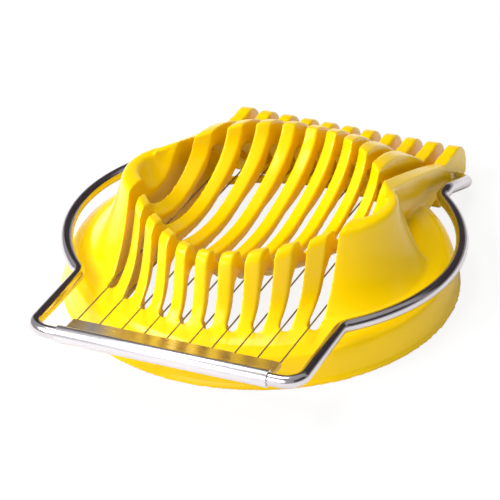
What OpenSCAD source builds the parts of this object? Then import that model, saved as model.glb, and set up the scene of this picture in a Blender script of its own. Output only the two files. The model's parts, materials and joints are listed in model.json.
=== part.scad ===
// Egg slicer: a round moulded base with a slotted egg cradle, and a steel
// wire frame that swings on a hinge bar held in the comb at the back.
// Millimetres, +Z up, front towards -Y. The base stands on z = 0.
// Lengths front to back are counted from the centre of the frame's ring.

/* [Slots and ribs] */
// Distance from one wire to the next
pitch = 5.5; // [5:0.1:6]
// Width of each slot
slot_w = 2.4; // [2:0.1:2.8]
// Depth of a rib below the cradle surface at the front
rib_depth = 5; // [4:0.5:6]
// How much deeper a rib is under the crest behind
rib_deepen = 2; // [0:0.5:3]
// Thickness of a rib's front post where it meets the apron
post_t = 3.4; // [2.6:0.1:4]
// How far the front rim's rounded edge runs back to its top
rim_t = 2.8; // [2.2:0.1:3.2]
// How far below its top the front rim begins to round
rim_round = 3; // [2:0.1:3.5]

/* [Base] */
// Radius of the top edge of the skirt
brim_r = 44.8; // [44:0.1:45.5]
// How much wider the skirt is where it stands on the table
skirt_flare = 2.5; // [1.5:0.1:3]
// Height of the top edge of the skirt
brim_z = 8.2; // [7:0.1:8.6]
// Width of the apron, from the top edge of the skirt in to the slots
apron_w = 6.6; // [5.8:0.1:7.2]
// Height of the apron at the slots
apron_z = 10.5; // [9.5:0.1:10.6]
// Wall thickness of the moulding
wall = 2.2; // [1.6:0.1:2.6]
// How far the base stands in front of the centre of the frame's ring
base_shift = 2.6; // [2:0.1:3]

/* [Cradle] */
// Height of the cradle floor
floor_z = 13.3; // [12.5:0.1:14]
// Height of the cradle rim at the front
rim_z = 27; // [26:0.1:28]
// Half the width of the cradle from front to back
cradle_ry = 33; // [32:0.1:34]
// Half the length of the cradle from side to side
cradle_rx = 30; // [29:0.1:30.5]
// How far forward the front rim stands at the middle
front_reach = 38.4; // [37.5:0.1:39]
// How far forward the front rim stands at the outer slots
front_reach_side = 18; // [17:0.1:20]
// Height of the crest behind the cradle, at the middle
crest_z = 23.3; // [22.5:0.1:24]
// How much higher the crest is towards its ends
crest_rise = 2.2; // [1:0.1:2.6]
// How far back the crest lies at the middle
crest_back = 31.2; // [30:0.1:32]
// How far back the crest lies at the outer walls
crest_back_side = 6.3; // [5:0.1:9]

/* [Shoulders] */
// Height of the shoulders at the front of the cradle's two ends
shoulder_z = 28.2; // [27:0.1:29]
// Slope of the shoulders' top, falling towards the back, in degrees
shoulder_slope = 6.8; // [5:0.1:8]
// How far out from the middle each round shoulder is centred
shoulder_out = 15; // [14.6:0.1:15.4]
// Radius of a shoulder at its top
shoulder_r = 16.9; // [16.5:0.1:17.3]
// How much wider a shoulder grows down its straight flank
shoulder_lean = 3.8; // [3:0.1:4.5]
// How much wider it grows again in the curve at its foot
shoulder_flare = 4.3; // [3.5:0.1:5]
// Radius of the cradle's rounded ends
end_r = 14.5; // [14:0.1:15]
// Radius of the hollows behind the shoulders
scoop_r = 12.5; // [12:0.1:13]
// How far back the hollows are centred
scoop_back = 16; // [15:0.1:17]
// Radius of the fillet between such a hollow and the apron
scoop_fillet = 3; // [2:0.1:4]

/* [Comb] */
// Radius of the round teeth about the hinge bar
tooth_r = 7.9; // [7:0.1:8.2]
// Height of the comb's lowest edge above the table
tooth_foot = 0.6; // [0.4:0.1:1]
// How much narrower than the hinge bar the mouth is that it snaps through
snap_squeeze = 0.4; // [0.2:0.1:0.6]

/* [Frame] */
// Diameter of the frame rod
rod_d = 3; // [2.6:0.1:3.2]
// Gap between the frame's ring and the top edge of the skirt, seen from above
ring_gap = 0.3; // [0.1:0.1:1.5]
// Height of the ring at its centre
ring_z = 11.2; // [11:0.1:12.5]
// Slope of the ring, falling towards the hinge, in degrees
ring_tilt = 2.7; // [2.2:0.1:3.2]
// Gap between the comb and each straight leg
leg_gap = 1.85; // [1.5:0.05:3]
// Distance from the ring's centre to the front bar
bar_y = 61; // [60:0.5:64]
// Radius of the bends at the front corners
corner_r = 4.5; // [3.5:0.1:6]
// Radius of the bends between the legs and the ring
kink_r = 4.5; // [3:0.1:6]
// Radius of the bends beside the hinge
back_corner_r = 3; // [2.4:0.1:3.4]
// Straight run of the legs between the ring and the bend down to the hinge
leg_run = 2.8; // [2.3:0.1:4]
// Radius of that bend
bend_r = 8; // [5:0.5:10]
// Distance from the ring's centre back to the hinge bar
hinge_y = 54; // [53.5:0.1:55]
// Height of the hinge bar
hinge_z = 3; // [2.8:0.1:3.3]

/* [Wires and clamp] */
// Diameter of a cutting wire
wire_d = 0.4; // [0.3:0.05:0.5]
// Length of the clamp beyond the outer wires
clamp_margin = 0.75; // [0.65:0.05:1]
// How much shorter the flange is at each end
flange_inset = 0.2; // [0.1:0.05:0.3]
// Thickness of the clamp's sheet
sheet = 0.5; // [0.4:0.05:0.7]
// How far the clamp's flange reaches back from the bar
flange_reach = 8.3; // [7:0.1:9]
// Turns of wire round the hinge bar
wire_turns = 3; // [2:1:3]
// Length of wire gripped in the flange
wire_grip = 4.4; // [3:0.1:5]

/* [Clearances] */
// Gap between the hinge bar and its bores
hinge_gap = 0.06; // [0.02:0.01:0.1]
// Gap between a wire and the slot end it passes over
wire_rest_gap = 0.08; // [0.05:0.01:0.3]
// Gap between rod and clamp, and between wire and flange
crimp_gap = 0.03; // [0.01:0.01:0.08]

/* [Hidden] */
$fn = 64;
wires = 10;       // one cutting wire, and one slot, for each wire node
overlap = 0.01;   // how far joined solids run into each other
clear = 1;        // how far a cut runs past the face it opens

plastic = [1, 0.85, 0];
steel = [0.75, 0.75, 0.78];
wire_steel = [0.55, 0.55, 0.58];

skirt_r = brim_r + skirt_flare;                  // where the skirt stands on the table
apron_r = brim_r - apron_w;                      // where the apron ends
ring_r = brim_r + ring_gap + rod_d / 2;          // middle of the rod in the frame's ring
rib_w = pitch - slot_w;
wall_x = (wires - 1) / 2 * pitch + slot_w / 2;   // inner face of the outer walls
comb_x = wall_x + rib_w;                         // outer face of the outer walls
leg_x = comb_x + leg_gap + rod_d / 2;            // middle of each straight leg
height = 2 * shoulder_z;                         // more than the base's whole height
crest_rise_x = 15;                               // where the crest reaches its full height
clamp_len = (wires - 1) * pitch + 2 * clamp_margin;
flange_len = clamp_len - 2 * flange_inset;
clamp_r = rod_d / 2 + crimp_gap + sheet;
clamp_y = -bar_y * cos(ring_tilt);
clamp_z = ring_z + bar_y * sin(ring_tilt);
mid_y = (hinge_y + tooth_r + clamp_y - clamp_r) / 2;   // centres the object on the origin

// ---------------------------------------------------------------- wire line
flange_t = 2 * sheet + wire_d / 2;               // two sheets pressed on the wires
flange_y = clamp_y + flange_reach;
flange_z = clamp_z - rod_d / 2;
wire_slope = (flange_z - hinge_z) / (hinge_y - flange_y);
wire_tilt = atan(wire_slope);
function wire_z(y) = hinge_z + (hinge_y - y) * wire_slope;
function wire_x(i) = (i - (wires + 1) / 2) * pitch;

// ---------------------------------------------------------------- apron and slots
apron_slope = (apron_z - brim_z) / (brim_r - apron_r);
function apron_top(r) = apron_z - (r - apron_r) * apron_slope;
function apron_y(r, x) = -base_shift - sqrt(max(0, r * r - x * x));
// A slot ends where its wire clears the sloping apron.
function slot_end_r(x, r) =
    apron_top(r) <= wire_z(apron_y(r, x)) - wire_d / 2 - wire_rest_gap ? r
    : slot_end_r(x, r + 0.05);
function slot_end(x) = apron_y(slot_end_r(x, apron_r), x);

// ---------------------------------------------------------------- cradle surface
// The cradle is a deep bowl with a soft floor and steep sides:
// |x/a|^p + |y/b|^p + |z/c|^4 = 1.
cradle_y = -0.8;         // middle of the cradle, front to back
cradle_p = 1.4;          // roundness of the cradle's plan
cradle_c = 20;           // depth of the whole bowl, which the rim cuts short
cradle_soft = 2;         // rounding of the floor where the halves meet
function soft_abs(v) = sqrt(v * v + cradle_soft * cradle_soft) - cradle_soft;
function cradle_level(x, y) =
    pow(soft_abs(x) / (cradle_rx - cradle_soft), cradle_p)
    + pow(soft_abs(y - cradle_y) / (cradle_ry - cradle_soft), cradle_p);
function cradle_top(x, y) =
    let (level = cradle_level(x, y))
    level >= 1 ? rim_z + cradle_c : floor_z + cradle_c * (1 - pow(1 - level, 1 / 4));

// The front rim bulges forward in the middle, and the crest behind bulges back.
function front_rim_y(x) =
    -front_reach_side - (front_reach - front_reach_side) * max(0, 1 - pow(x / wall_x, 2));
saddle_y = hinge_y - tooth_r;
saddle_z = hinge_z + tooth_r;
function crest_y(x) = crest_back - (crest_back - crest_back_side) * pow(abs(x) / comb_x, 1.68);
function back_top(x, y) =
    let (top = crest_z + crest_rise * min(1, abs(x) / crest_rise_x),
         rise = min(1, max(0, (saddle_y - y) / (saddle_y - crest_y(x)))))
    saddle_z + (top - saddle_z) * rise * (1.8 - 0.8 * rise);

// Where the cradle's surface reaches the crest behind, and the front rim.
walk = 0.25;
rim_fall = 0.8;          // the cradle meets the rim this far below its top
function rim_back(x, y) =
    cradle_top(x, y) >= back_top(x, y) || y > saddle_y ? y : rim_back(x, y + walk);
function rim_front(x, y) =
    cradle_top(x, y) >= rim_z - rim_fall || y < front_rim_y(x) + rim_t ? y
    : rim_front(x, y - walk);

// ---------------------------------------------------------------- one rib, side view
apron_grip = 3.2;        // how far a rib's root reaches into the apron
ridge_h = 7;             // height of the front ridge above its underside
ridge_t = 2;             // how much thicker it is there than the post at its foot
tooth_start = 100;       // the round tooth begins this far round from level, in degrees
foot_slope = 4;          // rise of the slope behind the skirt

function tooth_profile(steps = 14) =
    let (sweep = tooth_start + asin((hinge_z - tooth_foot) / tooth_r))
    [for (i = [0 : steps]) let (a = tooth_start - i * sweep / steps)
        [hinge_y + tooth_r * cos(a), hinge_z + tooth_r * sin(a)]];

function front_post(x, steps = 8) =
    let (foot = apron_y(apron_r, x), top = front_rim_y(x), rise = rim_z - rim_round - apron_z)
    [for (i = [0 : steps]) let (t = i / steps)
        [foot + (top - foot) * (1 - pow(1 - t, 1.6)), apron_z + rise * pow(t, 1.15)]];

function rim_profile(x, steps = 5) =
    [for (i = [1 : steps]) let (a = 90 * i / steps)
        [front_rim_y(x) + rim_t * (1 - cos(a)), rim_z - rim_round * (1 - sin(a))]];

function cradle_profile(x, from, to, steps = 18) =
    [for (i = [0 : steps]) let (y = from + (to - from) * i / steps)
        [y, min(cradle_top(x, y), rim_z - rim_fall)]];

function slope_profile(x, from, steps = 12) =
    [for (i = [1 : steps]) let (y = from + (saddle_y - from) * i / (steps + 0.5))
        [y, back_top(x, y)]];

function under_profile(x, from, to, steps = 8) =
    [for (i = [0 : steps]) let (y = from + (to - from) * i / steps)
        [y, min(cradle_top(x, y), back_top(x, y)) - rib_depth - rib_deepen * min(1, max(0, y / crest_back))]];

function rib_profile(x) =
    let (rim = front_rim_y(x), foot = apron_y(apron_r, x),
         front = rim_front(x, cradle_y), back = rim_back(x, cradle_y),
         heel = skirt_r - wall - base_shift)
    concat(
        [[foot - apron_grip, apron_z - wall], [foot - apron_grip, apron_top(apron_r + apron_grip)]],
        front_post(x),
        rim_profile(x),
        cradle_profile(x, front, back),
        slope_profile(x, back),
        tooth_profile(),
        [[heel, tooth_foot], [heel - wall, tooth_foot + foot_slope]],
        under_profile(x, back + foot_slope, front + ridge_h),
        [[rim + post_t + ridge_t, rim_z - ridge_h], [rim + post_t, rim_z - ridge_h - ridge_t],
         [foot + post_t, apron_z - 0.5], [foot + post_t / 2, apron_z - wall]]);

// The outer walls start beside the cradle and reach down into the skirt.
function wall_profile(x) =
    let (start = crest_y(x) / 2, back = rim_back(x, cradle_y), heel = skirt_r - wall - base_shift)
    concat(
        [[start, brim_z - wall]],
        cradle_profile(x, start, back),
        slope_profile(x, back),
        tooth_profile(),
        [[heel, tooth_foot], [heel - wall, tooth_foot + foot_slope]]);

module upright(k, profile) {
    translate([k * pitch + rib_w / 2, 0, 0]) rotate([0, -90, 0])
        linear_extrude(rib_w) polygon([for (p = profile) [p[1], p[0]]]);
}

// ---------------------------------------------------------------- moulded base
shoulder_foot = apron_z - 1;                       // a shoulder's flank is full width at this height
shoulder_h = shoulder_z - shoulder_foot;
belly = 0.6;                                       // how far up the skirt bulges
belly_r = brim_r + belly * (skirt_r - brim_r);     // its radius there
end_x = cradle_rx - end_r + 0.4;                   // centre of a cradle end
end_z = shoulder_z + 3.3;

// Each outer form is drawn twice, and the second time stands d inside the first.
module skirt_solid(d) {
    bottom = d == 0 ? 0 : -clear;
    rotate_extrude() polygon([
        [0, bottom], [skirt_r - d, bottom], [skirt_r - d, clear],
        [belly_r - d, brim_z * belly], [brim_r - d, brim_z - d * belly],
        [apron_r - d, apron_z - d], [0, apron_z - d]]);
}
// Its flank is straight above and curves out into the apron below.
module flank_solid(d, steps = 8) {
    low = brim_z - overlap;
    rotate_extrude() polygon(concat([[0, low - d]],
        [for (i = [0 : steps]) let (z = low + (shoulder_z - low) * i / steps, s = (shoulder_z - z) / shoulder_h)
            [shoulder_r + shoulder_lean * s + shoulder_flare * pow(s, 3) - d, z - d]],
        [[0, shoulder_z - d]]));
}
// The hollow behind a shoulder is round, filleted at its floor and open to the back.
module scoop_solid(side, d) {
    r = scoop_r + d;
    fillet = scoop_fillet + d;
    floor = apron_top(comb_x + scoop_r) - d;
    translate([side * (comb_x + scoop_r), scoop_back + base_shift, floor]) {
        rotate_extrude() union() {
            square([r - fillet, height]);
            translate([0, fillet]) square([r, height]);
            translate([r - fillet, fillet]) circle(r = fillet);
        }
        translate([-r, 0, fillet]) cube([2 * r, skirt_r, height]);
    }
}
module shoulder_form(side, d) {
    skirt_solid(d);
    difference() {
        translate([side * shoulder_out, 0, 0]) flank_solid(d);
        translate([-skirt_r, base_shift - front_reach_side, shoulder_z - d]) rotate([-shoulder_slope, 0, 0])
            cube([2 * skirt_r, 2 * skirt_r, height]);
        scoop_solid(side, d);
    }
}
module cradle_end(side, d) {
    translate([side * end_x, cradle_y + base_shift, end_z]) sphere(r = end_r + d);
}
// One shoulder as a shell, from the outer slot outwards, with its wall along the slot.
module shoulder(side) {
    intersection() {
        translate([side > 0 ? wall_x : -skirt_r - wall_x, -skirt_r, 0]) cube([skirt_r, 2 * skirt_r, height]);
        difference() {
            shoulder_form(side, 0);
            cradle_end(side, 0);
            difference() {
                shoulder_form(side, wall);
                cradle_end(side, wall);
                translate([side > 0 ? wall_x - overlap : -wall_x - wall, -skirt_r, 0])
                    cube([wall + overlap, 2 * skirt_r, height]);
            }
        }
    }
}
bridge_z = hinge_z - 1.2;   // the skirt and ribs stay joined below this height at the back
module middle_ring() {
    difference() {
        intersection() {
            skirt_solid(0);
            translate([-wall_x - overlap, -skirt_r, 0]) cube([2 * (wall_x + overlap), 2 * skirt_r, height]);
        }
        skirt_solid(wall);
        translate([0, 0, apron_z - 2 * wall]) cylinder(h = 4 * wall, r = apron_r - post_t / 2);
        translate([-wall_x, 0, bridge_z]) cube([2 * wall_x, skirt_r, height]);
    }
}
module slot(i) {
    x = wire_x(i);
    y = slot_end(x) + slot_w / 2;
    translate([x, y, bridge_z]) cylinder(h = height, d = slot_w);
    translate([x - slot_w / 2, y, bridge_z]) cube([slot_w, skirt_r + hinge_y, height]);
}
module hinge_bore() {
    length = 2 * (comb_x + clear);
    mouth = rod_d - snap_squeeze;
    translate([-length / 2, hinge_y, hinge_z]) rotate([0, 90, 0]) cylinder(h = length, d = rod_d + 2 * hinge_gap);
    translate([-length / 2, hinge_y - mouth / 2, -clear]) cube([length, mouth, hinge_z + clear]);
}
module base() {
    color(plastic)
    difference() {
        union() {
            translate([0, -base_shift, 0]) {
                shoulder(1);
                shoulder(-1);
                middle_ring();
            }
            for (k = [1 - wires / 2 : wires / 2 - 1]) upright(k, rib_profile(k * pitch));
            for (k = [-wires / 2, wires / 2]) upright(k, wall_profile(k * pitch));
        }
        for (i = [1 : wires]) slot(i);
        hinge_bore();
    }
}

// ---------------------------------------------------------------- frame rod
kink_x = leg_x + kink_r;
kink_y = sqrt(pow(ring_r + kink_r, 2) - pow(kink_x, 2));
kink_angle = atan(kink_y / kink_x);
hinge_run = leg_x - back_corner_r;   // half the straight length of the hinge bar
rod_sides = 16;
function ring_dir(x, y) = [x, y * cos(ring_tilt), -y * sin(ring_tilt)];
function ring_point(x, y) = [0, 0, ring_z] + ring_dir(x, y);
function unit(v) = v / norm(v);

// Each stop on the rod's centre line is [point, direction].
// A bend rounds the corner between the directions a, where it comes from, and b.
function bend_stops(corner, a, b, r, steps) =
    let (ua = unit(a), ub = unit(b), turn = 180 - acos(ua * ub),
         centre = corner + unit(ua + ub) * (r / cos(turn / 2)),
         outward = (corner + ua * r * tan(turn / 2) - centre) / r)
    [for (i = [0 : steps]) let (t = turn * i / steps)
        [centre + r * (cos(t) * outward - sin(t) * ua), -sin(t) * outward - cos(t) * ua]];
function arc_stops(cx, cy, r, from, to, steps) =
    [for (i = [0 : steps]) let (t = from + (to - from) * i / steps, way = sign(to - from))
        [ring_point(cx + r * cos(t), cy + r * sin(t)), way * ring_dir(-sin(t), cos(t))]];
function half_stops() =
    let (front = ring_point(leg_x, -bar_y),
         turn_down = ring_point(leg_x, kink_y + leg_run),
         hinge = [leg_x, hinge_y, hinge_z],
         inward = [-1, 0, 0],
         aft = ring_dir(0, 1),
         down = unit(hinge - turn_down))
    concat(
        bend_stops(front, inward, aft, corner_r, 8),
        arc_stops(kink_x, -kink_y, kink_r, 180, 180 - kink_angle, 4),
        arc_stops(0, 0, ring_r, -kink_angle, kink_angle, 20),
        arc_stops(kink_x, kink_y, kink_r, 180 + kink_angle, 180, 4),
        bend_stops(turn_down, -aft, down, bend_r, 3),
        bend_stops(hinge, -down, inward, back_corner_r, 6),
        [[[hinge_run - clear, hinge_y, hinge_z], inward]]);
function mirrored(stops) =
    [for (i = [len(stops) - 1 : -1 : 0]) let (s = stops[i])
        [[-s[0][0], s[0][1], s[0][2]], [s[1][0], -s[1][1], -s[1][2]]]];
function no_repeats(stops) =
    [for (i = [0 : len(stops) - 1]) if (i == 0 || norm(stops[i][0] - stops[i - 1][0]) > overlap / 10) stops[i]];
function rod_section(stop) =
    let (side = unit(cross([0, 0, 1], stop[1])), up = cross(stop[1], side))
    [for (k = [0 : rod_sides - 1]) let (a = 360 * k / rod_sides)
        stop[0] + rod_d / 2 * (cos(a) * side + sin(a) * up)];
module frame_rod() {
    stops = no_repeats(concat(mirrored(half_stops()), half_stops()));
    n = len(stops);
    m = rod_sides;
    color(steel) {
        polyhedron(
            points = [for (s = stops) each rod_section(s)],
            faces = concat(
                [[for (k = [0 : m - 1]) k]],
                [for (i = [0 : n - 2], k = [0 : m - 1])
                    let (a = i * m + k, b = i * m + (k + 1) % m) each [[a, a + m, b], [b, a + m, b + m]]],
                [[for (k = [m - 1 : -1 : 0]) (n - 1) * m + k]]));
        translate([-hinge_run, hinge_y, hinge_z]) rotate([0, 90, 0]) cylinder(h = 2 * hinge_run, d = rod_d);
    }
}

// ---------------------------------------------------------------- clamp and wires
// A sheet wrapped round the front bar, its two edges pressed on the wires as a flange.
module front_wire_clamp() {
    color(steel)
    difference() {
        union() {
            translate([-clamp_len / 2, clamp_y, clamp_z]) rotate([0, 90, 0]) cylinder(h = clamp_len, r = clamp_r);
            translate([-flange_len / 2, flange_y, flange_z]) rotate([-wire_tilt, 0, 0])
                translate([0, -flange_reach, -flange_t / 2]) cube([flange_len, flange_reach, flange_t]);
        }
        translate([-clamp_len / 2 - clear, clamp_y, clamp_z]) rotate([0, 90, 0])
            cylinder(h = clamp_len + 2 * clear, d = rod_d + 2 * crimp_gap);
        for (i = [1 : wires]) translate([wire_x(i), flange_y, flange_z]) rotate([90 - wire_tilt, 0, 0])
            translate([0, 0, -clear]) cylinder(h = flange_reach - rod_d / 2, d = wire_d + 2 * crimp_gap);
    }
}
eye_r = rod_d / 2 + crimp_gap + wire_d;
// One wire, from inside the flange to its wound eye on the hinge bar.
module wire(i) {
    x = wire_x(i);
    start = [x, flange_y - wire_grip, wire_z(flange_y - wire_grip)];
    hinge = [x, hinge_y, hinge_z];
    eye_w = wire_d * wire_turns;
    color(wire_steel)
    difference() {
        union() {
            translate(start) rotate([-90 - wire_tilt, 0, 0]) cylinder(h = norm(start - hinge), d = wire_d, $fn = 24);
            translate(hinge - [eye_w / 2, 0, 0]) rotate([0, 90, 0]) cylinder(h = eye_w, r = eye_r);
        }
        translate(hinge - [eye_w, 0, 0]) rotate([0, 90, 0]) cylinder(h = 2 * eye_w, d = rod_d + 2 * crimp_gap);
    }
}

translate([0, -mid_y, 0]) {
    base();
    frame_rod();
    front_wire_clamp();
    wire(1);  // wire_01
    wire(2);  // wire_02
    wire(3);  // wire_03
    wire(4);  // wire_04
    wire(5);  // wire_05
    wire(6);  // wire_06
    wire(7);  // wire_07
    wire(8);  // wire_08
    wire(9);  // wire_09
    wire(10);  // wire_10
}
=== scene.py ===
"""Egg slicer: a glossy moulded base with a slotted cradle, and a hinged steel wire frame.

Sizes in the classes are millimetres, counted front to back from the centre of the
frame's ring. Every mesh is scaled to metres and shifted into the frame as it is made.
"""

from __future__ import annotations

import json
import logging
import math
from dataclasses import dataclass
from enum import Enum
from typing import Iterable, Sequence

import bpy
import numpy as np
from mathutils import Matrix, Vector

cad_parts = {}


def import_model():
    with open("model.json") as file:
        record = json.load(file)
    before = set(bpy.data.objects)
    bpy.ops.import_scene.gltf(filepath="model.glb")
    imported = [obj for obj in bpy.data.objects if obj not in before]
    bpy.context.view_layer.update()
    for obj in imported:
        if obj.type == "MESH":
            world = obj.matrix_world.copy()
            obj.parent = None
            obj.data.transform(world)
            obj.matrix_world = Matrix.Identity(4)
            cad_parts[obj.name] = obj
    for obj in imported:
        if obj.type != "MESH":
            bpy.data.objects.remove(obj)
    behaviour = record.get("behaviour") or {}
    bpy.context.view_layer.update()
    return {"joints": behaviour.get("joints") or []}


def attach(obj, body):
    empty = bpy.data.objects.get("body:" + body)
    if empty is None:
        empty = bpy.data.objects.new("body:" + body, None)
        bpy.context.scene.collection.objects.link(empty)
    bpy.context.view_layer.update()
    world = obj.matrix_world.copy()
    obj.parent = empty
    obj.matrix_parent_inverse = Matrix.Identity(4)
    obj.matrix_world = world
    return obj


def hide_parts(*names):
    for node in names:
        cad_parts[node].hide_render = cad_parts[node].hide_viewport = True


log = logging.getLogger("egg_slicer")

MM = 0.001
FAR = 60.0  # beyond the object on every side
Point = tuple[float, float, float]
Ring = list[Point]


class Body(Enum):
    """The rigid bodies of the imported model."""

    BASE = "slicer_base"
    FRAME = "cutting_frame"


class Slot(Enum):
    """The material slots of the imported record."""

    PLASTIC = "yellow_plastic"
    ROD = "polished_steel"
    SHEET = "brushed_steel"
    WIRE = "wire_steel"


# ---------------------------------------------------------------- shader maths


@dataclass
class Sock:
    """A value in a node tree that Python operators can be used on."""

    graph: "Graph"
    link: object

    def _math(self, operation: str, other: "Sock | float") -> "Sock":
        """Adds one Math node.

        Args:
            operation: The Math node's operation.
            other: The second operand.

        Returns:
            The node's result.
        """
        return self.graph.node("ShaderNodeMath", {"operation": operation}, {0: self, 1: other})

    def __add__(self, other: "Sock | float") -> "Sock":
        """Returns self + other."""
        return self._math("ADD", other)

    __radd__ = __add__

    def __mul__(self, other: "Sock | float") -> "Sock":
        """Returns self * other."""
        return self._math("MULTIPLY", other)

    __rmul__ = __mul__


class Graph:
    """Builds the node tree of one material."""

    def __init__(self, name: str) -> None:
        """Starts an empty material.

        Args:
            name: The material's name.
        """
        self.material = bpy.data.materials.new(name)
        self.material.use_nodes = True
        self.tree = self.material.node_tree
        self.tree.nodes.clear()

    def node(
        self, kind: str, settings: dict | None = None, inputs: dict | None = None, output: int | str = 0
    ) -> Sock:
        """Adds a node, applies its settings, then sets or links its sockets.

        Args:
            kind: The node's type.
            settings: The node's properties.
            inputs: Socket name or index to a value or a Sock.
            output: Which output is returned.

        Returns:
            The chosen output.
        """
        made = self.tree.nodes.new(kind)
        for key, value in (settings or {}).items():
            setattr(made, key, value)
        for key, value in (inputs or {}).items():
            if isinstance(value, Sock):
                self.tree.links.new(value.link, made.inputs[key])
            else:
                made.inputs[key].default_value = value
        return Sock(self, made.outputs[output] if made.outputs else None)

    def place(self) -> Sock:
        """Returns the object coordinates, in metres."""
        return self.node("ShaderNodeTexCoord", output="Object")

    def noise(self, size_mm: float, detail: float = 2.0, stretch: Point = (1, 1, 1)) -> Sock:
        """Adds a noise pattern fixed to the piece.

        Args:
            size_mm: The size of its blotches.
            detail: How much fine detail it has.
            stretch: How dense it is along each axis.

        Returns:
            The noise, from 0 to 1.
        """
        where = self.node("ShaderNodeMapping", inputs={"Vector": self.place(), "Scale": stretch})
        scale = 1.0 / (size_mm * MM)
        return self.node("ShaderNodeTexNoise", inputs={"Vector": where, "Scale": scale, "Detail": detail})

    def mix(self, factor: Sock, low: tuple, high: tuple) -> Sock:
        """Mixes two colours by a factor."""
        return self.node(
            "ShaderNodeMix",
            {"data_type": "RGBA"},
            {0: factor, 6: (*low, 1.0), 7: (*high, 1.0)},
            output=2,
        )

    def bump(self, height: Sock, strength: float, depth_mm: float) -> Sock:
        """Turns a height into a normal."""
        settings = {"Height": height, "Strength": strength, "Distance": depth_mm * MM}
        return self.node("ShaderNodeBump", inputs=settings)

    def surface(self, **inputs: object) -> bpy.types.Material:
        """Ends the tree in a Principled shader.

        Args:
            **inputs: The shader's sockets, with _ for a space.

        Returns:
            The finished material.
        """
        sockets = {name.replace("_", " "): value for name, value in inputs.items()}
        shader = self.node("ShaderNodeBsdfPrincipled", inputs=sockets)
        self.node("ShaderNodeOutputMaterial", inputs={"Surface": shader})
        return self.material


@dataclass(frozen=True)
class MouldedPlastic:
    """Glossy yellow plastic with faint flow marks and hairline rubbing."""

    fresh: tuple = (1.0, 0.665, 0.0)
    worn: tuple = (0.99, 0.635, 0.0)
    gloss: float = 0.16
    rubbed: float = 0.24

    def build(self) -> bpy.types.Material:
        """Returns the material."""
        g = Graph("glossy_yellow_plastic")
        cloud = g.noise(22, 3)
        fine = g.noise(2.5, 4)
        ripple = g.noise(9, 2)
        return g.surface(
            Base_Color=g.mix(cloud, self.fresh, self.worn),
            Roughness=self.gloss + (self.rubbed - self.gloss) * (cloud * 0.5 + fine * 0.5),
            Normal=g.bump(ripple, 0.25, 0.12),
            IOR=1.49,
            Specular_IOR_Level=0.28,
        )


@dataclass(frozen=True)
class PolishedRod:
    """Polished stainless rod with faint smudges."""

    metal: tuple = (0.68, 0.64, 0.67)
    shade: tuple = (0.58, 0.54, 0.57)

    def build(self) -> bpy.types.Material:
        """Returns the material."""
        g = Graph("polished_stainless_rod")
        smudge = g.noise(7, 3)
        return g.surface(
            Base_Color=g.mix(smudge, self.metal, self.shade),
            Metallic=1.0,
            Roughness=0.13 + 0.10 * smudge,
        )


@dataclass(frozen=True)
class RolledSheet:
    """Satin stainless sheet, brushed along its length."""

    metal: tuple = (0.76, 0.73, 0.76)
    shade: tuple = (0.66, 0.63, 0.66)

    def build(self) -> bpy.types.Material:
        """Returns the material."""
        g = Graph("satin_stainless_sheet")
        grain = g.noise(0.5, 3, stretch=(0.03, 1, 1))
        return g.surface(
            Base_Color=g.mix(grain, self.metal, self.shade),
            Metallic=1.0,
            Roughness=0.22 + 0.14 * grain,
            Normal=g.bump(grain, 0.15, 0.02),
        )


@dataclass(frozen=True)
class DrawnWire:
    """Thin stainless cutting wire, slightly dull."""

    metal: tuple = (0.42, 0.38, 0.34)
    shade: tuple = (0.30, 0.27, 0.24)

    def build(self) -> bpy.types.Material:
        """Returns the material."""
        g = Graph("drawn_stainless_wire")
        streak = g.noise(1.5, 2, stretch=(1, 0.1, 1))
        return g.surface(
            Base_Color=g.mix(streak, self.metal, self.shade),
            Metallic=1.0,
            Roughness=0.3 + 0.1 * streak,
        )


# ---------------------------------------------------------------- modelling tools


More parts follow.
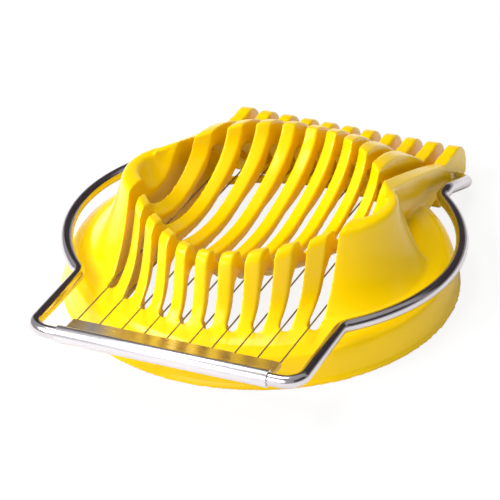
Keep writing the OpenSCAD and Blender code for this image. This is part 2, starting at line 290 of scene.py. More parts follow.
class Bench:
    """Blender's modelling operators, used on one object at a time."""

    def __init__(self, shift_y: float) -> None:
        """Stores where the ring's centre lies in the frame.

        Args:
            shift_y: The place of the ring's centre along Y, in millimetres.
        """
        self.shift = np.array([0.0, shift_y, 0.0])

    @staticmethod
    def take(piece: bpy.types.Object) -> None:
        """Selects one object alone and makes it active."""
        bpy.ops.object.select_all(action="DESELECT")
        piece.select_set(True)
        bpy.context.view_layer.objects.active = piece

    def put(self, piece: bpy.types.Object, points: np.ndarray) -> None:
        """Places a mesh's vertices, given in millimetres from the ring's centre."""
        placed = (points + self.shift) * MM
        piece.data.vertices.foreach_set("co", placed.astype(np.float32).ravel())
        piece.data.update()

    def close(self, piece: bpy.types.Object) -> bpy.types.Object:
        """Welds seams and poles, fills open ends and turns the faces outwards."""
        self.take(piece)
        bpy.ops.object.mode_set(mode="EDIT")
        bpy.ops.mesh.select_all(action="SELECT")
        bpy.ops.mesh.remove_doubles(threshold=0.002 * MM)
        bpy.ops.mesh.fill_holes(sides=0)
        bpy.ops.mesh.select_all(action="SELECT")
        bpy.ops.mesh.normals_make_consistent(inside=False)
        bpy.ops.object.mode_set(mode="OBJECT")
        return piece

    def loft(self, name: str, rings: Sequence[Ring]) -> bpy.types.Object:
        """Models a closed solid through rings that have the same number of points.

        Args:
            name: The object's name.
            rings: The rings, in order, each without its first point repeated.

        Returns:
            The solid.
        """
        rows = np.array([[*ring, ring[0]] for ring in rings], float)
        bpy.ops.object.select_all(action="DESELECT")
        bpy.ops.mesh.primitive_grid_add(x_subdivisions=rows.shape[1] - 1, y_subdivisions=rows.shape[0] - 1)
        piece = bpy.context.object
        piece.name = name
        self.put(piece, rows.reshape(-1, 3))
        return self.close(piece)

    def box(self, name: str, low: Point, high: Point) -> bpy.types.Object:
        """Models a block between two corners."""
        corners = [(low[0], low[1]), (high[0], low[1]), (high[0], high[1]), (low[0], high[1])]
        return self.loft(name, [[(x, y, z) for x, y in corners] for z in (low[2], high[2])])

    def turned(
        self, name: str, centre: Point, profile: Sequence[tuple[float, float]], forward: float = 1.0
    ) -> bpy.types.Object:
        """Models a solid of revolution about a vertical axis.

        Args:
            name: The object's name.
            centre: A point on the axis.
            profile: (radius, height) pairs from the bottom up.
            forward: How much its front half is stretched forwards.

        Returns:
            The solid.
        """
        steps = 192
        turns = [2 * math.pi * i / steps for i in range(steps)]
        round_way = [(math.cos(t), math.sin(t) * (forward if math.sin(t) < 0 else 1.0)) for t in turns]
        rings = [
            [(centre[0] + r * across, centre[1] + r * along, centre[2] + z) for across, along in round_way]
            for r, z in profile
        ]
        return self.loft(name, rings)

    def bar(self, name: str, start: Point, length: float, radius: float, steps: int = 48) -> bpy.types.Object:
        """Models a round bar that lies along X."""
        turns = [2 * math.pi * i / steps for i in range(steps)]
        rings = [
            [(x, start[1] + radius * math.cos(t), start[2] + radius * math.sin(t)) for t in turns]
            for x in (start[0], start[0] + length)
        ]
        return self.loft(name, rings)

    def apply(self, piece: bpy.types.Object, kind: str, **settings: object) -> bpy.types.Object:
        """Adds a modifier with its settings and applies it."""
        self.take(piece)
        modifier = piece.modifiers.new(kind.lower(), kind)
        for key, value in settings.items():
            setattr(modifier, key, value)
        bpy.ops.object.modifier_apply(modifier=modifier.name)
        return piece

    def tube(
        self,
        name: str,
        path: Sequence[Point],
        radius: float,
        level: Point,
        sides: int = 32,
        closed: bool = False,
    ) -> bpy.types.Object:
        """Models a round rod along a path.

        Args:
            name: The object's name.
            path: The middle line's points.
            radius: The rod's radius.
            level: A direction that the path never runs along, which keeps the rod from twisting.
            sides: How many points go round.
            closed: True where the last point joins the first.

        Returns:
            The rod.
        """
        points = [Vector(p) for p in path]
        count = len(points)
        rings = []
        for i, point in enumerate(points):
            before = points[i - 1] if i or closed else point
            after = points[(i + 1) % count] if i < count - 1 or closed else point
            ahead = (after - before).normalized()
            side = ahead.cross(Vector(level)).normalized()
            up = side.cross(ahead)
            turns = [2 * math.pi * k / sides for k in range(sides)]
            rings.append([tuple(point + radius * (math.cos(t) * side + math.sin(t) * up)) for t in turns])
        if closed:
            rings.append(rings[0])
        return self.loft(name, rings)

    def carve(
        self,
        piece: bpy.types.Object,
        tools: Iterable[bpy.types.Object],
        operation: str = "DIFFERENCE",
    ) -> bpy.types.Object:
        """Cuts, joins or intersects a solid with others, which are used up.

        Args:
            piece: The solid that is changed.
            tools: The other solids.
            operation: DIFFERENCE, UNION or INTERSECT.

        Returns:
            The changed solid.
        """
        for tool in tools:
            self.apply(piece, "BOOLEAN", object=tool, operation=operation, solver="MANIFOLD")
            bpy.data.objects.remove(tool)
        return piece

    def smooth(self, piece: bpy.types.Object, angle: float = 40.0) -> None:
        """Shades a piece smooth, except over edges sharper than an angle in degrees."""
        self.take(piece)
        bpy.ops.object.shade_smooth_by_angle(angle=math.radians(angle))


# ---------------------------------------------------------------- moulded base


@dataclass
class MouldedBase:
    """The base: skirt, apron, shoulders, cradle ribs and comb, moulded in one."""

    bench: Bench
    # ribs and posts
    wires: int = 10
    pitch: float = 5.5
    slot_w: float = 2.4
    rib_depth: float = 2.7
    rib_deepen: float = 4.3
    post_t: float = 3.4
    post_depth: float = 2.9
    post_foot_r: float = 43.1
    post_foot_z: float = 9.2
    rim_t: float = 2.8
    rim_round: float = 3.0
    # skirt and apron
    skirt_r: float = 47.3
    brim_r: float = 44.8
    brim_z: float = 8.2
    apron_r: float = 38.2
    apron_z: float = 10.5
    wall: float = 2.2
    base_shift: float = 2.6
    # cradle
    floor_z: float = 13.3
    rim_z: float = 27.0
    rim_fall: float = 0.8
    ridge_h: float = 7.0
    ridge_t: float = 2.0
    cradle_y: float = -0.8
    cradle_ry: float = 33.0
    cradle_rx: float = 30.0
    cradle_c: float = 20.0
    cradle_p: float = 1.4
    cradle_soft: float = 2.0
    # front rim and crest
    front_reach: float = 38.4
    front_reach_side: float = 18.0
    crest_z: float = 23.3
    crest_rise: float = 2.2
    crest_rise_x: float = 15.0
    crest_back: float = 31.2
    crest_back_side: float = 6.3
    back_bulge: float = 0.8
    bulge_loss: float = 0.7
    flat_from_x: float = 23.6
    flat_blend: float = 2.4
    # shoulders
    shoulder_z: float = 28.2
    shoulder_slope: float = 6.8
    shoulder_out: float = 15.0
    shoulder_r: float = 17.6
    shoulder_lean: float = 3.8
    shoulder_flare: float = 4.3
    end_r: float = 14.5
    end_out: float = 1.2
    end_rise: float = 3.3
    scoop_r: float = 12.5
    scoop_back: float = 16.0
    scoop_fillet: float = 3.0
    lip_voxel: float = 0.45
    lip_passes: int = 34
    flank_stretch: float = 1.19
    # comb
    tooth_r: float = 7.9
    tooth_foot: float = 0.6
    hinge_y: float = 54.0
    hinge_z: float = 3.0
    bore_r: float = 1.56
    mouth_w: float = 2.6
    # where the wires run
    flange_y: float = -52.63
    flange_z: float = 12.57
    wire_gap: float = 0.36
    # surface mesh
    mould_voxel: float = 0.42
    triangle_limit: int = 190_000

    def __post_init__(self) -> None:
        """Works out the sizes that follow from the others."""
        self.rib_w = self.pitch - self.slot_w
        self.wall_x = (self.wires - 1) / 2 * self.pitch + self.slot_w / 2
        self.comb_x = self.wall_x + self.rib_w
        self.saddle_y = self.hinge_y - self.tooth_r
        self.saddle_z = self.hinge_z + self.tooth_r
        self.apron_slope = (self.apron_z - self.brim_z) / (self.brim_r - self.apron_r)
        self.heel = self.skirt_r - self.wall - self.base_shift
        self.bridge_z = self.hinge_z - 1.2

    # ------------------------------------------------ surfaces

    def soft_abs(self, v: float) -> float:
        """Returns |v|, rounded where it turns."""
        return math.hypot(v, self.cradle_soft) - self.cradle_soft

    def cradle_top(self, x: float, y: float) -> float:
        """Returns the height of the cradle's surface."""
        level = (self.soft_abs(x) / (self.cradle_rx - self.cradle_soft)) ** self.cradle_p + (
            self.soft_abs(y - self.cradle_y) / (self.cradle_ry - self.cradle_soft)
        ) ** self.cradle_p
        if level >= 1:
            return self.rim_z + self.cradle_c
        return self.floor_z + self.cradle_c * (1 - (1 - level) ** 0.25)

    def apron_top(self, r: float) -> float:
        """Returns the height of the apron at a radius."""
        return self.apron_z - (r - self.apron_r) * self.apron_slope

    def apron_y(self, r: float, x: float) -> float:
        """Returns how far forward a circle of the base lies at x."""
        return -self.base_shift - math.sqrt(max(0.0, r * r - x * x))

    def front_rim_y(self, x: float) -> float:
        """Returns how far forward the front rim lies at x."""
        bulge = max(0.0, 1 - (x / self.wall_x) ** 2)
        return -self.front_reach_side - (self.front_reach - self.front_reach_side) * bulge

    def crest_y(self, x: float) -> float:
        """Returns how far back the crest lies at x."""
        return self.crest_back - (self.crest_back - self.crest_back_side) * (abs(x) / self.comb_x) ** 1.68

    def back_top(self, x: float, y: float) -> float:
        """Returns the height of the slope from the crest down to the comb."""
        top = self.crest_z + self.crest_rise * min(1.0, abs(x) / self.crest_rise_x)
        rise = min(1.0, max(0.0, (self.saddle_y - y) / (self.saddle_y - self.crest_y(x))))
        near_wall = min(1.0, max(0.0, (abs(x) - self.flat_from_x) / self.flat_blend))
        bulge = self.back_bulge - self.bulge_loss * near_wall
        return self.saddle_z + (top - self.saddle_z) * rise * (1 + bulge - bulge * rise)

    # ------------------------------------------------ side views

    def post_point(self, x: float, s: float) -> tuple[float, float]:
        """Returns (y, z) on a post's front face, with s from 0 at its top to 1 at its flared foot."""
        top, foot = self.front_rim_y(x), self.apron_y(self.post_foot_r, x)
        height = self.rim_z - self.rim_round
        return top + (foot - top) * (0.33 * s + 0.67 * s**5), height + (self.post_foot_z - height) * s

    def cradle_end_y(self, x: float, forward: bool) -> float:
        """Returns where the cradle's surface meets the front rim or the crest at x."""
        y, step = self.cradle_y, 0.05
        if forward:
            while self.cradle_top(x, y) < self.rim_z - self.rim_fall and y > self.front_rim_y(x) + self.rim_t:
                y -= step
        else:
            while self.cradle_top(x, y) < self.back_top(x, y) and y < self.saddle_y:
                y += step
        return y

    def back_profile(self, x: float, start: float) -> list[tuple[float, float]]:
        """Returns (y, z) along the top from a start in the cradle, over the crest and round the tooth."""
        crest = self.cradle_end_y(x, forward=False)
        points = []
        for i in range(49):
            y = start + (crest - start) * i / 48
            points.append((y, min(self.cradle_top(x, y), self.rim_z - self.rim_fall)))
        for i in range(1, 33):
            y = crest + (self.saddle_y - crest) * i / 32.5
            points.append((y, self.back_top(x, y)))
        sweep = 100 + math.degrees(math.asin((self.hinge_z - self.tooth_foot) / self.tooth_r))
        for i in range(31):
            a = math.radians(100 - i * sweep / 30)
            y = self.hinge_y + self.tooth_r * math.cos(a)
            points.append((y, self.hinge_z + self.tooth_r * math.sin(a)))
        return [*points, (self.heel, self.tooth_foot), (self.heel - self.wall, self.tooth_foot + 4)]

    def rib_ring(self, x: float) -> Ring:
        """Returns the closed outline of the ribs' solid at x, front to back and under.

        Args:
            x: The place of the cut.

        Returns:
            The points of the outline.
        """
        rim, foot = self.front_rim_y(x), self.apron_y(self.post_foot_r, x)
        front, back = self.cradle_end_y(x, forward=True), self.cradle_end_y(x, forward=False)
        low = self.apron_top(self.post_foot_r) - self.wall + 0.5
        points = [(foot - 0.8, low), (foot - 0.8, self.apron_top(self.post_foot_r + 0.8) - 0.1)]
        points += [self.post_point(x, 1 - i / 20) for i in range(21)]
        for i in range(1, 9):
            a = math.radians(90 * i / 8)
            y = rim + self.rim_t * (1 - math.cos(a))
            points.append((y, self.rim_z - self.rim_round * (1 - math.sin(a))))
        points += self.back_profile(x, front)
        for i in range(33):
            y = back + 4 + (front + self.ridge_h - back - 4) * i / 32
            ahead = min(1.0, max(0.0, (-8 - y) / 15))
            behind = min(1.0, max(0.0, (y - 10) / (self.crest_back - 10)))
            depth = self.rib_depth + 1.2 * ahead + self.rib_deepen * behind
            points.append((y, min(self.cradle_top(x, y), self.back_top(x, y)) - depth))
        ridge = self.rim_z - self.ridge_h
        points += [(rim + self.post_t + self.ridge_t, ridge + 0.4), (rim + self.post_depth, ridge - 0.2)]
        for i in range(1, 9):
            y, z = self.post_point(x, 0.36 + 0.6 * i / 8)
            points.append((y + self.post_depth, z))
        points.append((foot + self.post_depth, low))
        return [(x, y, z) for y, z in points]

    def wall_ring(self, x: float) -> Ring:
        """Returns the closed outline of an outer wall at x, which reaches down into the skirt."""
        start = self.crest_y(x) / 2
        return [(x, start, self.brim_z - self.wall), *((x, y, z) for y, z in self.back_profile(x, start))]

    # ------------------------------------------------ solids

    def ribs(self) -> bpy.types.Object:
        """Returns the uncut body of ribs between the outer walls."""
        steps = 120
        reach = self.wall_x - 0.01
        cuts = [-reach + 2 * reach * i / steps for i in range(steps + 1)]
        return self.bench.loft("rib_body", [self.rib_ring(x) for x in cuts])

    def outer_wall(self, side: int) -> bpy.types.Object:
        """Returns one outer wall, from behind the shoulder to its tooth."""
        steps = 8
        start, end = self.wall_x, self.comb_x
        cuts = [side * (start + (end - start) * i / steps) for i in range(steps + 1)]
        return self.bench.loft("outer_wall", [self.wall_ring(x) for x in cuts])

    def skirt_form(self, inset: float) -> bpy.types.Object:
        """Returns the skirt and apron as a full round solid, set in by an inset."""
        low = 0.0 if inset == 0 else -1.0
        d = inset
        profile = [(0.0, low), (self.skirt_r - d, low), (self.skirt_r - d, 0.6)]
        belly_r = self.skirt_r - 0.6
        for i in range(1, 9):
            t = i / 8
            r = belly_r + (self.brim_r + 0.4 - belly_r) * t**1.7
            profile.append((r - d, 0.6 + (self.brim_z - 1.3) * t - d * 0.6 * t))
        for i in range(1, 9):
            t = i / 8
            r = self.brim_r + 0.4 - 2.2 * t
            z = self.brim_z - 0.7 + (self.apron_top(r) - self.brim_z + 0.7) * (1 - (1 - t) ** 1.8)
            profile.append((r - d, z - d * (0.6 + 0.4 * t)))
        profile += [(self.apron_r - d, self.apron_z - d), (0.0, self.apron_z - d)]
        return self.bench.turned("skirt_form", (0, -self.base_shift, 0), profile)

    def slope_tool(self, inset: float) -> bpy.types.Object:
        """Returns all that lies above the shoulders' sloping top."""
        fall = math.tan(math.radians(self.shoulder_slope))
        ends = [(y, self.shoulder_z - inset - (y + self.front_reach_side) * fall) for y in (-70.0, 70.0)]
        outline = [*ends, (70.0, 70.0), (-70.0, 70.0)]
        return self.bench.loft("above_shoulders", [[(x, y, z) for y, z in outline] for x in (-70.0, 70.0)])

    def scoop_tool(self, side: int, inset: float) -> bpy.types.Object:
        """Returns the hollow behind one shoulder, filleted at its floor and open to the back."""
        r, fillet = self.scoop_r + inset, self.scoop_fillet + inset
        x, y = side * (self.comb_x + self.scoop_r), self.scoop_back
        low = self.apron_top(self.comb_x + self.scoop_r) - inset
        profile = [(0.0, low)]
        for i in range(13):
            a = math.radians(90 * i / 12)
            profile.append((r - fillet * (1 - math.sin(a)), low + fillet * (1 - math.cos(a))))
        profile += [(r, FAR), (0.0, FAR)]
        scoop = self.bench.turned("scoop", (x, y, 0), profile)
        way_out = self.bench.box("way_out", (x - r, y, low + fillet), (x + r, y + FAR, FAR))
        return self.bench.carve(scoop, [way_out], "UNION")

    def cradle_end(self, side: int, grow: float) -> bpy.types.Object:
        """Returns the round end of the cradle on one side."""
        x = side * (self.cradle_rx - self.end_r + self.end_out)
        centre = (x, self.cradle_y, self.shoulder_z + self.end_rise)
        r = self.end_r + grow
        ball = [(r * math.sin(math.pi * i / 96), -r * math.cos(math.pi * i / 96)) for i in range(97)]
        return self.bench.turned("cradle_end", centre, ball)

    def flank(self, side: int, inset: float) -> bpy.types.Object:
        """Returns one shoulder's body above the apron, before it is hollowed behind."""
        low = self.brim_z - 3.0
        foot = self.apron_z - 1
        steps = 32
        profile = [(0.0, low - inset)]
        for i in range(steps + 1):
            z = low + (self.shoulder_z - low) * i / steps
            s = min(1.07, (self.shoulder_z - z) / (self.shoulder_z - foot))
            r = self.shoulder_r + self.shoulder_lean * s + self.shoulder_flare * s**3
            profile.append((r - inset, z - inset))
        profile.append((0.0, self.shoulder_z - inset))
        centre = (side * self.shoulder_out, -self.base_shift, 0)
        body = self.bench.turned("flank", centre, profile, self.flank_stretch)
        return self.bench.carve(body, [self.slope_tool(inset), self.cradle_end(side, inset)])

    def beyond(self, side: int, x: float) -> bpy.types.Object:
        """Returns all that lies further out than x on one side."""
        inner = side * x
        return self.bench.box("beyond", (min(inner, side * FAR), -FAR, -5), (max(inner, side * FAR), FAR, 50))

    def shoulder(self, side: int) -> bpy.types.Object:
        """Returns one shoulder as a shell with rounded lips and a wall along the outer slot."""
        bench = self.bench
        lip = self.flank(side, 0)
        bench.apply(lip, "REMESH", mode="VOXEL", voxel_size=self.lip_voxel * MM)
        bench.apply(lip, "SMOOTH", factor=0.5, iterations=self.lip_passes)
        bench.carve(lip, [self.scoop_tool(side, 0)])
        shell = bench.carve(self.skirt_form(0), [lip], "UNION")
        inside = bench.carve(self.flank(side, self.wall), [self.scoop_tool(side, self.wall)])
        hollow = bench.carve(self.skirt_form(self.wall), [inside], "UNION")
        bench.carve(hollow, [self.beyond(side, self.wall_x + self.wall)], "INTERSECT")
        bench.carve(shell, [hollow])
        return bench.carve(shell, [self.beyond(side, self.wall_x)], "INTERSECT")

    def middle_ring(self) -> bpy.types.Object:
        """Returns the skirt and apron in front of and behind the ribs."""
        bench = self.bench
        reach = self.wall_x + 0.1
        ring = bench.carve(self.skirt_form(0), [self.skirt_form(self.wall)])
        core_r = self.apron_r - self.post_t / 2
        outline = [(0, 5.0), (core_r, 5.0), (core_r, 20), (0, 20)]
        core = bench.turned("core", (0, -self.base_shift, 0), outline)
        behind = bench.box("behind", (-FAR, -self.base_shift, self.bridge_z), (FAR, FAR, 40))
        bench.carve(ring, [core, behind])
        middle = bench.box("middle", (-reach, -FAR, -5), (reach, FAR, 50))
        return bench.carve(ring, [middle], "INTERSECT")

    def slot_end(self, x: float) -> float:
        """Returns where the slot at x ends, where its wire clears the flared foot of the posts."""
        slope = (self.flange_z - self.hinge_z) / (self.hinge_y - self.flange_y)
        s = 0.5
        y, z = self.post_point(x, s)
        while z > self.hinge_z + (self.hinge_y - y) * slope - self.wire_gap:
            s += 0.005
            y, z = self.post_point(x, s)
        return y

    def slot(self, index: int) -> bpy.types.Object:
        """Returns the cutter of one slot, round at its front end."""
        x = (index - (self.wires - 1) / 2) * self.pitch
        r = self.slot_w / 2
        y = self.slot_end(x) + r
        nose = [(x - r * math.cos(math.pi * i / 16), y - r * math.sin(math.pi * i / 16)) for i in range(17)]
        outline = [*nose, (x + r, 80.0), (x - r, 80.0)]
        return self.bench.loft("slot", [[(px, py, z) for px, py in outline] for z in (self.bridge_z, 45.0)])

    def build(self) -> bpy.types.Object:
        """Returns the finished base.

        The forms are joined, slotted, remeshed to blend their edges as a mould's
        do, and then bored for the hinge bar.
        """
        bench = self.bench
        body = self.shoulder(1)
        rest = [self.shoulder(-1), self.middle_ring(), self.ribs(), self.outer_wall(1), self.outer_wall(-1)]
        bench.carve(body, rest, "UNION")
        bench.carve(body, [self.slot(i) for i in range(self.wires)])
        body.name = "moulded_base"
        bench.apply(body, "REMESH", mode="VOXEL", voxel_size=self.mould_voxel * MM, use_smooth_shade=True)
        bench.apply(body, "SMOOTH", factor=0.5, iterations=3)
        faces = len(body.data.polygons) * 2
        log.info("base after remesh: %d triangles", faces)
        if faces > self.triangle_limit:
            bench.apply(body, "DECIMATE", ratio=self.triangle_limit / faces)
        reach = self.comb_x + 1
        hinge = (-reach, self.hinge_y, self.hinge_z)
        half = self.mouth_w / 2
        front, back = self.hinge_y - half, self.hinge_y + half
        mouth = bench.box("mouth", (-reach, front, -1), (reach, back, self.hinge_z))
        bench.carve(body, [bench.bar("bore", hinge, 2 * reach, self.bore_r), mouth])
        bench.smooth(body, 50)
        return body


# ---------------------------------------------------------------- steel frame


@dataclass
class SteelFrame:
    """The bent rod, the sheet clamp round its front bar, and the ten cutting wires."""

    bench: Bench
    wires: int = 10
    pitch: float = 5.5
    rod_r: float = 1.5
    ring_r: float = 46.6
    ring_z: float = 11.2
    ring_tilt: float = 2.7
    leg_x: float = 32.4
    bar_y: float = 61.0
    corner_r: float = 4.5
    kink_r: float = 4.5
    back_corner_r: float = 3.0
    leg_run: float = 2.8
    bend_r: float = 8.0
    hinge_y: float = 54.0
    hinge_z: float = 3.0
    sheet: float = 0.5
    crimp_gap: float = 0.03
    clamp_margin: float = 0.75
    flange_inset: float = 0.2
    flange_reach: float = 8.3
    wire_r: float = 0.19
    wire_turns: int = 3
    wire_grip: float = 4.4

    def __post_init__(self) -> None:
        """Works out where the clamp and the wires run."""
        tilt = math.radians(self.ring_tilt)
        self.along = Vector((0.0, math.cos(tilt), -math.sin(tilt)))
        self.clamp_y = -self.bar_y * math.cos(tilt)
        self.clamp_z = self.ring_z + self.bar_y * math.sin(tilt)
        self.clamp_len = (self.wires - 1) * self.pitch + 2 * self.clamp_margin
        self.clamp_r = self.rod_r + self.crimp_gap + self.sheet
        self.flange_y = self.clamp_y + self.flange_reach
        self.flange_z = self.clamp_z - self.rod_r
        self.wire_tilt = math.atan2(self.flange_z - self.hinge_z, self.hinge_y - self.flange_y)

    # ------------------------------------------------ the rod's middle line

    def ring_point(self, x: float, y: float) -> Vector:
        """Returns a point in the frame's tilted plane."""
        return Vector((x, 0.0, self.ring_z)) + y * self.along

    def arc(self, centre: Point, radius: float, start: float, end: float, steps: int) -> list[Vector]:
        """Returns points on an arc in the tilted plane, between two angles in degrees."""
        turns = [math.radians(start + (end - start) * i / steps) for i in range(steps + 1)]
        x, y = centre[:2]
        return [self.ring_point(x + radius * math.cos(t), y + radius * math.sin(t)) for t in turns]

    @staticmethod
    def bend(corner: Vector, back: Vector, ahead: Vector, radius: float, steps: int = 14) -> list[Vector]:
        """Returns points that round a corner.

        Args:
            corner: Where the two straight runs would meet.
            back: The direction back along the first run.
            ahead: The direction on along the second run.
            radius: The radius of the bend.
            steps: How many steps it takes.

        Returns:
            The points, from the first run to the second.
        """
        a, b = back.normalized(), ahead.normalized()
        half = a.angle(b) / 2
        centre = corner + (a + b).normalized() * (radius / math.sin(half))
        outward = (corner + a * (radius / math.tan(half)) - centre) / radius
        turns = [(math.pi - 2 * half) * i / steps for i in range(steps + 1)]
        return [centre + radius * (math.cos(t) * outward - math.sin(t) * a) for t in turns]

    def half_line(self) -> list[Vector]:
        """Returns the right half of the rod's middle line, from the front bar to the hinge bar."""
        kink_x = self.leg_x + self.kink_r
        kink_y = math.sqrt((self.ring_r + self.kink_r) ** 2 - kink_x**2)
        turn = math.degrees(math.atan2(kink_y, kink_x))
        inward = Vector((-1.0, 0.0, 0.0))
        front = self.ring_point(self.leg_x, -self.bar_y)
        drop = self.ring_point(self.leg_x, kink_y + self.leg_run)
        hinge = Vector((self.leg_x, self.hinge_y, self.hinge_z))
        down = hinge - drop
        line = self.bend(front, inward, self.along, self.corner_r)
        line += self.arc((kink_x, -kink_y, 0), self.kink_r, 180, 180 - turn, 10)
        line += self.arc((0, 0, 0), self.ring_r, -turn, turn, 72)[1:]
        line += self.arc((kink_x, kink_y, 0), self.kink_r, 180 + turn, 180, 10)[1:]
        line += self.bend(drop, -self.along, down, self.bend_r, 8)
        return line + self.bend(hinge, -down, inward, self.back_corner_r)

    def rod(self) -> bpy.types.Object:
        """Returns the rod, bent into one closed loop."""
        right = self.half_line()
        left = [Vector((-p.x, p.y, p.z)) for p in reversed(right)]
        piece = self.bench.tube("bent_frame_rod", right + left, self.rod_r, (0, 0, 1), closed=True)
        self.bench.smooth(piece, 60)
        return piece

    # ------------------------------------------------ clamp

    def slab(
        self, name: str, half_x: float, rear: float, front: float, low: float, high: float
    ) -> bpy.types.Object:
        """Returns a block in the flange's plane.

        Args:
            name: The object's name.
            half_x: Half its length.
            rear: How far behind the flange's rear edge it starts, negative to the front.
            front: How far in front of that edge it ends.
            low: Its underside, from the flange's middle.
            high: Its upper side.

        Returns:
            The block.
        """
        back = Vector((0.0, math.cos(self.wire_tilt), -math.sin(self.wire_tilt)))
        up = Vector((0.0, math.sin(self.wire_tilt), math.cos(self.wire_tilt)))
        edge = Vector((0.0, self.flange_y, self.flange_z))
        outline = ((rear, low), (rear, high), (-front, high), (-front, low))
        corners = [edge + back * d + up * h for d, h in outline]
        return self.bench.loft(name, [[(x, c.y, c.z) for c in corners] for x in (-half_x, half_x)])

    def clamp(self) -> bpy.types.Object:
        """Returns the sheet that is wrapped round the front bar and pressed on the wires."""
        bench, half = self.bench, self.clamp_len / 2
        start = (-half, self.clamp_y, self.clamp_z)
        piece = bench.bar("wrapped_clamp", start, self.clamp_len, self.clamp_r, 64)
        thick = self.sheet + self.wire_r / 2
        flange = self.slab("flange", half - self.flange_inset, 0.0, self.flange_reach, -thick, thick)
        bench.carve(piece, [flange], "UNION")
        parting = self.slab("parting", half + 1, 1.0, self.flange_reach - 2.4, -0.05, 0.05)
        hole = bench.bar(
            "hole", (start[0] - 1, *start[1:]), self.clamp_len + 2, self.rod_r + self.crimp_gap, 64
        )
        bench.carve(piece, [parting, hole])
        bench.apply(
            piece, "BEVEL", width=0.1 * MM, segments=2, limit_method="ANGLE", angle_limit=math.radians(50)
        )
        bench.smooth(piece, 35)
        return piece

    # ------------------------------------------------ wires

    def wire(self, index: int) -> bpy.types.Object:
        """Returns one wire, from inside the flange to its eye wound on the hinge bar."""
        x = (index - (self.wires - 1) / 2) * self.pitch
        edge = Vector((x, self.flange_y, self.flange_z))
        start = edge + self.wire_grip * Vector((0.0, -math.cos(self.wire_tilt), math.sin(self.wire_tilt)))
        eye_r = self.rod_r + self.crimp_gap + self.wire_r
        run = math.hypot(self.hinge_y - self.flange_y, self.flange_z - self.hinge_z)
        touch = math.pi - self.wire_tilt - math.acos(eye_r / run)
        lead = 2.1 * self.wire_r
        first = x - lead * self.wire_turns / 2
        line = [start, edge]
        per_turn = 28
        coil = []
        for i in range(per_turn * self.wire_turns - 2):
            t = touch - 2 * math.pi * i / per_turn
            y, z = self.hinge_y + eye_r * math.cos(t), self.hinge_z + eye_r * math.sin(t)
            coil.append(Vector((first + lead * i / per_turn, y, z)))
        for i in range(1, 12):
            line.append(edge.lerp(coil[0], i / 12))
        piece = self.bench.tube(f"cutting_wire_{index + 1:02d}", line + coil, self.wire_r, (1, 0, 0), 12)
        self.bench.smooth(piece, 60)
        return piece


# ---------------------------------------------------------------- studio


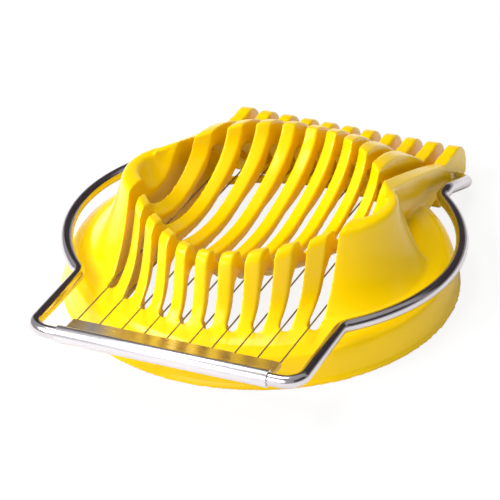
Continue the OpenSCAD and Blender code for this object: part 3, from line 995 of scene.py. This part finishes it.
@dataclass
class Studio:
    """A plain pale floor, soft lights and the camera."""

    azimuth: float = 22.66
    elevation: float = 31.46
    roll: float = -0.95
    distance: float = 820.27
    aim_right: float = 3.59
    aim_up: float = -5.77
    focal_px: float = 3451.77
    image_px: int = 500

    def camera(self, shift_y: float) -> None:
        """Places the camera.

        Args:
            shift_y: The place of the ring's centre along Y, in millimetres.
        """
        a, e, c = (math.radians(v) for v in (self.azimuth, self.elevation, self.roll))
        back = Vector((math.sin(a) * math.cos(e), -math.cos(a) * math.cos(e), math.sin(e)))
        level = Vector((math.cos(a), math.sin(a), 0))
        upright = back.cross(level)
        right = level * math.cos(c) + upright * math.sin(c)
        up = back.cross(right)
        data = bpy.data.cameras.new("camera")
        data.sensor_width = 36.0
        data.lens = self.focal_px / self.image_px * data.sensor_width
        data.clip_end = 50
        camera = bpy.data.objects.new("camera", data)
        bpy.context.scene.collection.objects.link(camera)
        centre = Vector((0, shift_y, 0))
        place = (back * self.distance - right * self.aim_right - up * self.aim_up + centre) * MM
        axes = Matrix((right, up, back)).transposed()
        camera.matrix_world = Matrix.Translation(place) @ axes.to_4x4()
        bpy.context.scene.camera = camera

    def lamp(self, name: str, place: Point, size: float, power: float) -> None:
        """Adds one soft area lamp that points at the object."""
        data = bpy.data.lights.new(name, "AREA")
        data.shape = "DISK"
        data.size = size
        data.energy = power
        lamp = bpy.data.objects.new(name, data)
        bpy.context.scene.collection.objects.link(lamp)
        lamp.location = place
        lamp.rotation_mode = "QUATERNION"
        lamp.rotation_quaternion = (-Vector(place)).to_track_quat("-Z", "Y")

    def lights(self) -> None:
        """Adds the lamps and the world."""
        self.lamp("key_softbox", (-0.60, -0.50, 0.70), 0.5, 7.0)
        self.lamp("front_softbox", (-0.15, -1.05, 0.62), 1.0, 7.0)
        self.lamp("top_softbox", (-0.20, 0.1, 1.0), 0.5, 4.0)
        world = bpy.data.worlds.new("studio_world")
        bpy.context.scene.world = world
        world.use_nodes = True
        tree = world.node_tree
        tree.nodes.clear()
        path = tree.nodes.new("ShaderNodeLightPath")
        seen = tree.nodes.new("ShaderNodeMath")
        seen.operation = "MAXIMUM"
        tree.links.new(path.outputs["Is Camera Ray"], seen.inputs[0])
        tree.links.new(path.outputs["Is Transmission Ray"], seen.inputs[1])
        room = tree.nodes.new("ShaderNodeBackground")
        room.inputs["Color"].default_value = (1, 1, 1, 1)
        room.inputs["Strength"].default_value = 0.42
        white = tree.nodes.new("ShaderNodeBackground")
        white.inputs["Color"].default_value = (1, 1, 1, 1)
        white.inputs["Strength"].default_value = 1.0
        mix = tree.nodes.new("ShaderNodeMixShader")
        tree.links.new(seen.outputs[0], mix.inputs[0])
        tree.links.new(room.outputs[0], mix.inputs[1])
        tree.links.new(white.outputs[0], mix.inputs[2])
        out = tree.nodes.new("ShaderNodeOutputWorld")
        tree.links.new(mix.outputs[0], out.inputs["Surface"])

    def floor(self) -> None:
        """Adds the pale table top."""
        bpy.ops.object.select_all(action="DESELECT")
        bpy.ops.mesh.primitive_plane_add(size=6.0)
        table = bpy.context.object
        table.name = "table_top"
        g = Graph("pale_table")
        diffuse = g.node("ShaderNodeBsdfDiffuse", inputs={"Color": (0.93, 0.93, 0.93, 1.0)})
        glow = g.node("ShaderNodeEmission", inputs={"Color": (1, 1, 1, 1), "Strength": 1.0})
        seen = g.node("ShaderNodeLightPath", output="Is Camera Ray")
        shader = g.node("ShaderNodeMixShader", inputs={0: seen * 0.86, 1: diffuse, 2: glow})
        g.node("ShaderNodeOutputMaterial", inputs={"Surface": shader})
        table.data.materials.append(g.material)

    def flags(self) -> None:
        """Adds dark cards behind and to the right, which draw the dark streaks on the steel."""
        g = Graph("dark_card")
        matt = g.node("ShaderNodeBsdfDiffuse", inputs={"Color": (0.04, 0.03, 0.035, 1.0)})
        g.node("ShaderNodeOutputMaterial", inputs={"Surface": matt})
        for name, place, turn, size in (
            ("card_behind", (0.05, 0.75, 0.52), 0, (1.9, 0.62)),
            ("card_right", (0.95, -0.12, 0.56), 90, (1.1, 0.62)),
        ):
            bpy.ops.object.select_all(action="DESELECT")
            bpy.ops.mesh.primitive_plane_add(
                size=1.0, location=place, rotation=(math.radians(90), 0, math.radians(turn))
            )
            card = bpy.context.object
            card.name = name
            card.scale = (*size, 1.0)
            bpy.ops.object.transform_apply(location=False, rotation=False, scale=True)
            card.visible_camera = False
            card.data.materials.append(g.material)


def dress(piece: bpy.types.Object, material: bpy.types.Material) -> None:
    """Gives a piece one material."""
    piece.data.materials.clear()
    piece.data.materials.append(material)


def report(piece: bpy.types.Object) -> None:
    """Logs a piece's name and its number of faces."""
    log.info("%s: %d faces", piece.name, len(piece.data.polygons))


def main() -> None:
    """Builds the object and the studio round it."""
    logging.basicConfig(level=logging.INFO, format="%(name)s: %(message)s")
    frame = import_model()
    hinge = next(j for j in frame["joints"] if j["name"] == "frame_hinge")
    shift_y = hinge["pos_m"][1] / MM - MouldedBase.hinge_y
    bpy.context.scene.view_settings.view_transform = "Standard"

    studio = Studio()
    studio.camera(shift_y)
    studio.lights()
    studio.floor()
    studio.flags()

    bench = Bench(shift_y)
    base = MouldedBase(bench).build()
    dress(base, MouldedPlastic().build())
    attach(base, Body.BASE.value)
    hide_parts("base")
    report(base)

    steel = SteelFrame(bench)
    wire_finish = DrawnWire().build()
    fittings = [
        (steel.rod(), "frame_rod", Slot.ROD, PolishedRod().build()),
        (steel.clamp(), "front_wire_clamp", Slot.SHEET, RolledSheet().build()),
        *((steel.wire(i), f"wire_{i + 1:02d}", Slot.WIRE, wire_finish) for i in range(steel.wires)),
    ]
    for piece, node, slot, finish in fittings:
        dress(piece, finish)
        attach(piece, Body.FRAME.value)
        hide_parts(node)
        report(piece)


if __name__ == "__main__":
    main()
